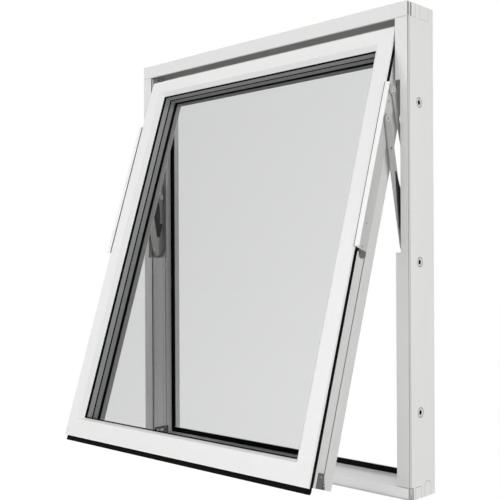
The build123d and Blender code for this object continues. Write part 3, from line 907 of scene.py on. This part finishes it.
@dataclass(frozen=True)
class SealAndShadeLines:
    """Rubber strips and the joint mastic that show as thin dark lines between the folded sheets; the strips
    are mostly painted shade in gaps, grooves and joints.
    """

    window: Window
    edge_x: Pair = (456.1, 457.9)
    edge_depth: Pair = (-1.6, 3.5)
    rebate_x: Pair = (460.15, 461.3)
    rebate_setback: Pair = (2.1, 4.3)
    seam_x: Pair = (493.62, 494.8)
    seam_setback: Pair = (2.02, 3.58)
    flange_setback: Pair = (9.05, 9.95)
    groove_x: Pair = (461.25, 462.45)
    groove_setback: Pair = (55.55, 57.0)
    groove_foot: float = 48.0
    short: float = 1.0
    rounding: float = 0.5
    mastic_setback: Pair = (13.6, 19.9)
    mastic_in: float = 1.0
    mastic_end: float = 493.0
    hollow: float = 1.2
    hollow_points: int = 13
    head_end_setback: Pair = (2.6, 7.2)
    head_end_x: Pair = (480.0, 493.4)
    head_end: Pair = (1157.0, 1187.6)
    head_gaps: Profile = ((36.03, 36.57), (55.43, 55.97), (91.03, 91.57))
    square_gaps: Profile = ((27.43, 27.97), (52.03, 52.57))
    square_top: Pair = (28.53, 29.07)
    crowned_gaps: Profile = ((66.43, 66.97), (94.03, 94.57))
    shoulder: float = 23.5
    joint_foot: float = 0.6
    joint_x: Pair = (470.0, 494.9)
    joint_rounding: float = 0.1
    arc_points: int = 25
    over_soffit: float = 0.2
    under_top: float = 0.8

    def build(self, palette: Palette) -> None:
        """All of the lines."""
        self.strips(palette.rubber)
        self.mastic(palette.mastic)
        self.joints(palette.rubber)

    def strips(self, rubber: bpy.types.Material) -> None:
        """The strip between each cover and the sash's edge, a seal that also paints the shade in its gap,
        and those in each jamb's rebate, groove and seams, which are painted shade.

        Args:
            rubber: what they are made of.
        """
        w = self.window
        # Painted shade: near-black rubber in the rebate, the groove and the seams, and partly at the cover's
        # edge.
        shape = Shape("seal_and_gap_shade_strips")
        section = rounded(box(self.edge_x, self.edge_depth), self.rounding, closed=True)
        shape.add(bar(section, w.down_sash, w.cover))
        top = w.head_lip - self.short
        wide, fine = self.rounding, self.rounding / 2
        for x, setback, ends, radius in (
                (self.rebate_x, self.rebate_setback, (w.sill_top, w.notch[0]), wide),
                (self.rebate_x, self.rebate_setback, (w.notch[1], top), wide),
                (self.groove_x, self.groove_setback, (self.groove_foot, w.notch[0] - self.short), wide),
                (self.seam_x, self.seam_setback, (w.sill_top, top), fine),
                (self.seam_x, self.flange_setback, (w.sill_top, top), fine)):
            shape.add(bar(rounded(box(x, setback), radius, closed=True), w.up_frame, ends))
        shape.place(rubber, "weather_rubber")

    def mastic(self, material: bpy.types.Material) -> None:
        """The mastic beside the head's front tenon, and in the end of the head's cladding.

        Its end is hollow: x falls short of the rim by hollow * (1 - s s), s from -1 to 1 across it.

        Args:
            material: what it is made of.
        """
        w = self.window
        front, back = self.mastic_setback
        s = np.linspace(-1.0, 1.0, self.hollow_points)
        rim = self.mastic_end - self.hollow * (1 - s * s)
        end = np.stack([rim, (front + back) / 2 + s * (back - front) / 2], axis=1)
        inner = w.opening_half + self.mastic_in
        section = np.concatenate([end, [(inner, back), (inner, front)]])
        shape = Shape("joint_mastic")
        shape.add(bar(section, w.up_frame, self._through_head()))
        section = rounded(box(self.head_end_x, self.head_end_setback), self.rounding, closed=True)
        shape.add(bar(section, w.up_frame, self.head_end))
        shape.place(material, "grey_plastic")

    def joints(self, rubber: bpy.types.Material) -> None:
        """The open joint round each tenon on the frame's side, filled with near-black rubber as painted
        shade.

        The round-topped tenon's line follows an arc: setback c + r cos(a), height shoulder + r sin(a).

        Args:
            rubber: the near-black material that fills it as painted shade.
        """
        w = self.window
        # Painted shade: the open joints are filled near-black.
        shape = Shape("joint_gap_shade")
        lines = [(gap, self._through_head()) for gap in self.head_gaps]
        lines += [(gap, (self.joint_foot, self.square_top[0])) for gap in self.square_gaps]
        lines += [(gap, (self.joint_foot, self.shoulder)) for gap in self.crowned_gaps]
        for gap, ends in lines:
            shape.add(bar(self._joint_section(gap), w.up_frame, ends))
        left, right = self.square_gaps
        shape.add(bar(self._joint_section(self.square_top), w.into_frame, (left[0], right[1])))
        front, back = self.crowned_gaps
        middle = (front[1] + back[0]) / 2
        x, radius = self._joint_section((back[0] - middle, back[1] - middle)).T
        angle = np.linspace(0.0, math.pi, self.arc_points)[:, None]
        shape.add(w.on_frame(x + 0 * angle, middle + radius * np.cos(angle),
                             self.shoulder + radius * np.sin(angle)))
        shape.place(rubber, "weather_rubber")

    def _through_head(self) -> Pair:
        """The heights between which a line runs beside a tenon of the head."""
        return self.window.head_soffit + self.over_soffit, self.window.height - self.under_top

    def _joint_section(self, across: Pair) -> np.ndarray:
        """A joint's section, from its range across the line."""
        return rounded(box(self.joint_x, across), self.joint_rounding, closed=True)


@dataclass(frozen=True)
class EdgeSeal:
    """Black butyl round the edge of each pane, as it shows at the sight line."""

    window: Window
    depths: Profile = ((15.05, 20.9), (36.7, 41.3), (56.4, 62.95))
    margin: Pair = (-0.2, 2.0)
    rounding: float = 0.4

    def build(self, palette: Palette) -> None:
        """One ring for each pane: a rounded section carried round the four corners."""
        w = self.window
        shape = Shape("pane_edge_seal")
        side = np.array([-1.0, 1.0, 1.0, -1.0])[:, None]
        fall = np.array([-1.0, -1.0, 1.0, 1.0])[:, None]
        middle = (w.sight_top + w.sight_bottom) / 2
        half = (w.sight_bottom - w.sight_top) / 2
        for depths in self.depths:
            margin, depth = rounded(box(self.margin, depths), self.rounding, closed=True).T
            across, down = side * (w.sight_half + margin), middle + fall * (half + margin)
            shape.add(w.on_sash(across, down, depth), loop=True)
        shape.place(palette.rubber, "weather_rubber", mirrored=False)


@dataclass(frozen=True)
class SleeveSet:
    """White flanged sleeves with a coned mouth, a near-black ring in their fitting gap and the screw heads
    in them, near-black too: painted shade in the gap and the bore.
    """

    window: Window
    setback: float = 50.8
    heights: Triple = (206.0, 569.0, 954.0)
    below_face: float = 0.05
    flange: float = 10.8
    flange_seat: float = 492.6
    tube: float = 8.0
    cap: Profile = ((8.4, -0.05), (8.4, 2.0), (8.0, 2.5))
    mouth: float = 6.6
    cone: float = 1.5
    bore: float = 6.0
    bore_end: float = 478.0
    recess: float = 12.28
    clearance: float = 0.03
    gap_face: float = 494.5
    gap_rounding: float = 0.1
    screw_seat: float = 492.9
    screw: CrossHead = CrossHead(radius=bore - 0.2, reach=2.4, rise=0.8)

    def build(self, palette: Palette) -> None:
        """Sleeves, gaps and screws for the three heights on both sides."""
        w = self.window
        sleeves, gap_shade, screws = Shape("screw_sleeves"), Shape("sleeve_gap_shade"), Shape("sleeve_screws")
        face = w.half_width - self.below_face
        ring = box((self.flange + self.clearance, self.recess), (self.flange_seat, self.gap_face))
        gap = rounded(ring, self.gap_rounding, 2, closed=True)
        for height in self.heights:
            centre = w.on_frame(0.0, self.setback, height)
            inner = w.pocket_floor if height > w.notch[0] else w.opening_half
            corners = raised(self.cap, inner)
            corners += [(self.tube, self.flange_seat), (self.flange, self.flange_seat), (self.flange, face),
                        (self.mouth, face), (self.bore, face - self.cone), (self.bore, self.bore_end)]
            sleeves.add(lathe(centre, RIGHT, turned(corners)))
            gap_shade.add(lathe(centre, RIGHT, gap), loop=True)
            seat = w.on_frame(self.screw_seat, self.setback, height)
            screws.add(self.screw.grid(seat, np.array(RIGHT)))
        # Painted shade: the gap's ring and the screw heads take the near-black rubber.
        sleeves.place(palette.white, "grey_plastic", replaces="fixing_sleeves")
        gap_shade.place(palette.rubber, "black_plastic")
        screws.place(palette.rubber, "dark_zinc")


@dataclass(frozen=True)
class ArmDetail:
    """Rivets of the arms and links, their near-black centres, painted shade in their holes, and the rounded
    foot of the hinge plate.

    The heads are (radius, height) rows over the face that they lie on.
    """

    window: Window
    arm_sash: Pair = (231.5, 24.5)
    link_sash: Pair = (156.8, 23.4)
    arm_frame: Pair = (22.3, 608.7)
    link_frame: Pair = (41.3, 782.5)
    plate_rivet: Pair = (40.5, 752.7)
    collar: float = 6.5
    shank: float = 3.0
    dimple: float = 1.3
    large_head: Profile = ((5.3, 0.0), (5.3, 0.8), (4.8, 1.1), (dimple, 1.2), (dimple, 0.3))
    small_head: Profile = ((3.8, 0.0), (3.8, 0.5), (dimple, 0.8), (dimple, 0.2))
    inward_head: Profile = ((dimple, 0.3), (dimple, 1.4), (5.2, 1.35), (6.0, 0.8), (6.0, 0.0))
    plate_head: Profile = ((dimple, 0.4), (dimple, 1.2), (4.6, 0.9), (4.6, -0.2))
    large_ring: Pair = (5.7, 7.6)
    small_ring: Pair = (4.1, 5.8)
    ring_foot: float = 0.1
    ring_shoulder: float = 0.9
    ring_top: float = 1.2
    ring_bevels: Pair = (0.3, 0.4)
    outward_centre: Pair = (0.2, 0.5)
    inward_centre: Pair = (-0.6, -0.2)
    foot_hole: Pair = (16.5, 635.7)
    foot_hole_radius: float = 1.8
    foot_hole_shade_ends: Pair = (-0.05, 0.5)
    spare_hole_share: float = 0.23
    spare_hole_gap: float = 0.1
    spare_hole_inset: float = 0.4
    plate_foot: Pair = (564.0, 36.3)
    plate_foot_thick: float = 4.9
    plate_foot_radius: float = 10.5
    plate_foot_rivet: Profile = ((6.4, 0.0), (6.2, -0.5), (5.6, -0.5), (5.4, 0.5), (dimple, 0.7),
                                 (dimple, -0.3))
    plate_foot_centre: Pair = (-0.4, 0.1)
    rounding: float = 0.2

    def build(self, palette: Palette) -> None:
        """Rivets on both sides with their rings and near-black centres, and the hinge plates' feet."""
        w = self.window
        near, far = w.arm
        # The near-black plugs in the rivets' centres and in the arm's empty holes are painted shade.
        rivets, rings, hole_shade = Shape("arm_rivets"), Shape("rivet_rings"), Shape("rivet_hole_shade")
        outward = [(self.collar, w.web_outer), (self.collar, near), (self.shank, near), (self.shank, far)]
        inward = raised(self.inward_head, near, -1.0)
        inward += [(self.shank, near), (self.shank, far), (self.collar, far), (self.collar, w.plate_inner)]
        for place, head, ring in ((self.arm_sash, self.large_head, self.large_ring),
                                  (self.link_sash, self.small_head, self.small_ring)):
            centre = w.on_sash(0.0, *place)
            rivets.add(lathe(centre, RIGHT, turned(outward + raised(head, far), self.rounding)))
            rings.add(lathe(centre, RIGHT, turned(self._ring(ring, far), self.rounding / 2)))
            self._plug(hole_shade, centre, self.dimple, self.outward_centre, far)
        on_plate = raised(self.plate_head, w.plate_inner, -1.0)
        for place, corners, base in ((self.arm_frame, inward, near), (self.link_frame, inward, near),
                                     (self.plate_rivet, on_plate, w.plate_inner)):
            centre = w.on_frame(0.0, *place)
            rivets.add(lathe(centre, RIGHT, turned(corners, self.rounding)))
            self._plug(hole_shade, centre, self.dimple, self.inward_centre, base)
        self._plug(hole_shade, w.on_frame(0.0, *self.foot_hole), self.foot_hole_radius, self.foot_hole_shade_ends, near)
        top, foot = w.on_sash(0.0, *self.arm_sash), w.on_frame(0.0, *self.arm_frame)
        self._plug(hole_shade, top + (foot - top) * self.spare_hole_share, self.shank - self.spare_hole_gap,
                   (self.spare_hole_inset, far - near - self.spare_hole_inset), near)
        rivets.place(palette.link_steel, "galvanised_steel", replaces="arm_pins")
        rings.place(palette.white, "grey_plastic")
        hole_shade.place(palette.black, "black_plastic")
        self.plate_feet(palette)

    def plate_feet(self, palette: Palette) -> None:
        """The hinge plate's rounded foot with a ringed rivet in it."""
        w = self.window
        face = w.stile_half + self.plate_foot_thick
        corners = [(self.plate_foot_radius, w.stile_half), (self.plate_foot_radius, face)]
        corners += raised(self.plate_foot_rivet, face)
        # Painted shade: a near-black plug in the foot rivet's centre.
        feet, hole_shade = Shape("hinge_plate_feet"), Shape("plate_foot_hole_shade")
        centre = w.on_sash(0.0, *self.plate_foot)
        feet.add(lathe(centre, RIGHT, turned(corners, self.rounding)))
        self._plug(hole_shade, centre, self.dimple, self.plate_foot_centre, face)
        feet.place(palette.plate_steel, "galvanised_steel")
        hole_shade.place(palette.black, "black_plastic")

    def _ring(self, radii: Pair, base: float) -> list[Pair]:
        """The profile of a bevelled ring round a rivet.

        Args:
            radii: of its hole and its rim.
            base: the face that it lies on.

        Returns:
            Its corners.
        """
        hole, rim = radii
        inner_bevel, outer_bevel = self.ring_bevels
        rows = ((hole, self.ring_foot), (rim, self.ring_foot), (rim, self.ring_shoulder),
                (rim - outer_bevel, self.ring_top), (hole + inner_bevel, self.ring_top),
                (hole, self.ring_shoulder), (hole, self.ring_foot))
        return raised(rows, base)

    @staticmethod
    def _plug(shape: Shape, centre: np.ndarray, radius: float, ends: Pair, base: float) -> None:
        """Add a small plug along X with slightly domed ends.

        Args:
            shape: the shape that it belongs to.
            centre: a place on its axis.
            radius: its radius at the middle.
            ends: where it starts and ends, counted from the base.
            base: the face that it is in.
        """
        tip, edge, sides = radius * 0.8, 0.1, 24
        start, end = base + ends[0], base + ends[1]
        corners = [(tip, start), (radius, (start + end) / 2), (tip, end)]
        shape.add(lathe(centre, RIGHT, turned(corners, edge), sides))


@dataclass(frozen=True)
class ScrewSet:
    """Screws in the covers, locks, keeps, brackets and the handle's plate."""

    window: Window
    large: CrossHead = CrossHead()
    small: CrossHead = CrossHead(radius=2.3, rise=0.9, recess=0.8)
    cover_screws: Profile = ((187.0, 22.6), (493.4, 24.9), (550.0, 23.5))
    lock_screw: Pair = (1071.9, 38.5)
    lock_face: float = 455.5
    keep_screws: Profile = ((52.0, 55.5), (52.0, 42.5))
    keep_face: float = 458.0
    bracket_screws: Profile = ((15.0, 42.0), (55.0, 42.0))
    bracket_face: float = 458.0
    handle_screws: float = 24.0
    handle_face: float = 92.0

    def build(self, palette: Palette) -> None:
        """All of the heads."""
        w = self.window
        right = np.array(RIGHT)
        shape = Shape("plate_screws")
        for down, depth in self.cover_screws:
            shape.add(self.large.grid(w.on_sash(w.web_outer, down, depth), right))
        shape.add(self.small.grid(w.on_sash(self.lock_face, *self.lock_screw), right))
        for down, depth in self.bracket_screws:
            shape.add(self.small.grid(w.on_sash(self.bracket_face, down, depth), right))
        for setback, height in self.keep_screws:
            shape.add(self.small.grid(w.on_frame(self.keep_face, setback, height), -right))
        shape.place(palette.steel, "galvanised_steel")
        shape = Shape("handle_screws")
        inward = np.array([0.0, math.cos(w.tilt), -math.sin(w.tilt)])
        shape.add(self.large.grid(w.on_sash(self.handle_screws, w.handle_down, self.handle_face), inward))
        shape.place(palette.handle, "handle_metal")


@dataclass(frozen=True)
class LockDetail:
    """What shows in the lock plate's slot and in the keep's, with near-black beds in both as painted shade.
    """

    window: Window
    rod_x: Pair = (450.1, 451.2)
    rod_depth: Pair = (49.1, 52.9)
    rod_ends: Pair = (72.0, 1070.0)
    rod_rounding: float = 0.5
    slot: Pair = (1090.0, 51.0)
    slot_half: Pair = (5.3, 2.7)
    slot_shade_offsets: Pair = (0.05, 0.5)
    keep_slot: Pair = (13.0, 49.0)
    keep_half: Pair = (3.4, 3.9)
    keep_shade_offsets: Pair = (0.05, 1.6)
    squareness: float = 0.4
    outline_points: int = 40
    housing: Pair = (28.0, 49.0)
    housing_rows: Profile = ((3.4, 0.02), (3.4, 3.6), (1.6, 3.9), (1.6, 2.1))
    housing_rounding: float = 0.25

    def build(self, palette: Palette) -> None:
        """Near-black slot beds, painted shade in the slots, the rods in the stiles' grooves and the roller
        housing in each keep.
        """
        w = self.window
        slot_shade, rods, housing = Shape("lock_slot_shade"), Shape("lock_rods"), Shape("keep_housings")
        # Painted shade: a near-black bed at the bottom of each slot.
        down, depth = self._outline(self.slot, self.slot_half)
        slot_shade.add(np.stack([w.on_sash(w.stile_half + proud, down, depth) for proud in self.slot_shade_offsets]))
        setback, height = self._outline(self.keep_slot, self.keep_half)
        slot_shade.add(np.stack([w.on_frame(w.opening_half - proud, setback, height) for proud in self.keep_shade_offsets]))
        slot_shade.place(palette.black, "black_plastic")
        section = rounded(box(self.rod_x, self.rod_depth), self.rod_rounding, closed=True)
        rods.add(bar(section, w.down_sash, self.rod_ends))
        rods.place(palette.zinc, "dark_zinc")
        corners = raised(self.housing_rows, w.opening_half, -1.0)
        housing.add(lathe(w.on_frame(0.0, *self.housing), RIGHT, turned(corners, self.housing_rounding)))
        housing.place(palette.steel, "galvanised_steel")

    def _outline(self, centre: Pair, half: Pair) -> tuple[np.ndarray, np.ndarray]:
        """A rounded rectangle: cos a and sin a, each raised to the squareness with its sign kept.

        Args:
            centre: its middle.
            half: half its size along each axis.

        Returns:
            The points' two coordinates.
        """
        angle = np.linspace(0.0, 2.0 * math.pi, self.outline_points, endpoint=False)
        first = np.sign(np.cos(angle)) * abs(np.cos(angle)) ** self.squareness
        second = np.sign(np.sin(angle)) * abs(np.sin(angle)) ** self.squareness
        return centre[0] + half[0] * first, centre[1] + half[1] * second


# The stage

@dataclass(frozen=True)
class Lamp:
    """A rectangular softbox that the camera does not see."""

    name: str
    place: Triple
    aim: Triple
    size: Pair
    power: float

    def build(self) -> None:
        """Hang it and turn it to its aim."""
        data = bpy.data.lights.new(self.name, "AREA")
        data.shape = "RECTANGLE"
        data.size, data.size_y = self.size
        data.energy = self.power
        made = bpy.data.objects.new(self.name, data)
        made.location = self.place
        made.rotation_euler = (Vector(self.aim) - Vector(self.place)).to_track_quat("-Z", "Y").to_euler()
        made.visible_camera = False
        bpy.context.scene.collection.objects.link(made)


@dataclass(frozen=True)
class Studio:
    """Floor, world, lamps and the camera at the photograph's place."""

    image_size: float = 500.0
    focal_pixels: float = 862.0
    sensor_mm: float = 36.0
    camera_place: Triple = (1.65244, -1.77580, 0.55256)
    yaw: float = 43.256
    roll: float = -0.285
    centre_pixel: Pair = (268.0, 269.64)
    clip_end: float = 100.0
    ambient: float = 0.16
    in_gloss: float = 0.45
    floor_half: float = 12.0
    floor_drop: float = 0.0005
    floor_tone: Triple = (0.55, 0.55, 0.55)
    floor_roughness: float = 0.7
    floor_glow: float = 1.03
    floor_glow_share: float = 0.97
    lamps: tuple[Lamp, ...] = (
        Lamp("key", (-2.4, -3.0, 1.6), (0.0, -0.1, 0.6), (2.2, 2.2), 51.0),
        Lamp("front", (0.2, -2.2, 2.8), (0.0, -0.1, 0.6), (2.0, 2.0), 22.0),
        Lamp("side", (3.6, -0.4, 1.2), (0.0, 0.0, 0.6), (2.6, 2.6), 44.0),
        Lamp("low front", (0.3, -3.2, 0.85), (0.0, -0.1, 0.5), (1.6, 1.6), 9.0),
        Lamp("low side", (2.6, -2.0, 0.75), (0.0, -0.1, 0.4), (1.4, 1.4), 4.0),
        Lamp("foot", (2.4, -2.4, 0.15), (0.3, -0.06, 0.12), (2.0, 0.26), 20.0),
        Lamp("indoors", (0.35, 2.6, 1.75), (-0.45, 0.0, 0.6), (0.8, 1.0), 44.0),
        Lamp("back", (-1.5, 3.0, 2.2), (0.0, 0.0, 0.6), (2.0, 2.0), 5.0))

    def camera(self) -> None:
        """The camera: its centre pixel is where the level view line meets the picture."""
        data = bpy.data.cameras.new("camera")
        data.sensor_width = self.sensor_mm
        data.lens = self.focal_pixels / self.image_size * self.sensor_mm
        data.shift_x = 0.5 - self.centre_pixel[0] / self.image_size
        data.shift_y = self.centre_pixel[1] / self.image_size - 0.5
        data.clip_end = self.clip_end
        made = bpy.data.objects.new("camera", data)
        made.location = self.camera_place
        made.rotation_mode = "QUATERNION"
        base = Euler((math.radians(90), 0, math.radians(self.yaw))).to_matrix()
        made.rotation_quaternion = (base @ Matrix.Rotation(math.radians(self.roll), 3, "Z")).to_quaternion()
        bpy.context.scene.collection.objects.link(made)
        bpy.context.scene.camera = made

    def world(self) -> None:
        """A plain grey world for light, shown as white to the camera and glass and paler grey to gloss."""
        world = bpy.data.worlds.new("studio")
        bpy.context.scene.world = world
        world.use_nodes = True
        nodes = Nodes(world.node_tree)
        back = nodes.tree.nodes["Background"]
        gloss = nodes.value(nodes.node("LightPath"), "Is Glossy Ray") * (self.in_gloss - self.ambient)
        nodes.feed(back.inputs["Strength"], nodes.seen() * (1.0 - self.ambient) + gloss + self.ambient)
        nodes.feed(back.inputs["Color"], WHITE)

    def floor(self) -> None:
        """A pale floor that shows nearly white and keeps a soft shadow."""
        mesh = bpy.data.meshes.new("floor")
        r = self.floor_half
        mesh.from_pydata([(-r, -r, 0), (r, -r, 0), (r, r, 0), (-r, r, 0)], [], [(0, 1, 2, 3)])
        made = bpy.data.objects.new("floor", mesh)
        bpy.context.scene.collection.objects.link(made)
        made.location.z = -self.floor_drop
        s = Shading("pale_floor")
        s.set(Base_Color=(*self.floor_tone, 1.0), Roughness=self.floor_roughness)
        glow = s.node("Emission", values={"Color": WHITE, "Strength": self.floor_glow})
        share = s.seen() * self.floor_glow_share
        s.show(s.node("MixShader", values={0: share, 1: s.surface.outputs[0], 2: glow.outputs[0]}))
        mesh.materials.append(s.material)

    def build(self) -> None:
        """The whole stage."""
        self.camera()
        self.world()
        self.floor()
        for lamp in self.lamps:
            lamp.build()
        bpy.context.scene.view_settings.view_transform = "Standard"


def main() -> None:
    """Dress the CAD nodes, add what is too fine for them and set the stage, in that order."""
    logging.basicConfig(level=logging.INFO, format="%(name)s: %(message)s")
    palette = Palette()
    for parts in (FrameParts, SashParts, ArmParts):
        parts(palette).dress()
    window = Window()
    for detail in (SealAndShadeLines, EdgeSeal, SleeveSet, ArmDetail, ScrewSet, LockDetail):
        detail(window).build(palette)
    Studio().build()


if __name__ == "__main__":
    main()
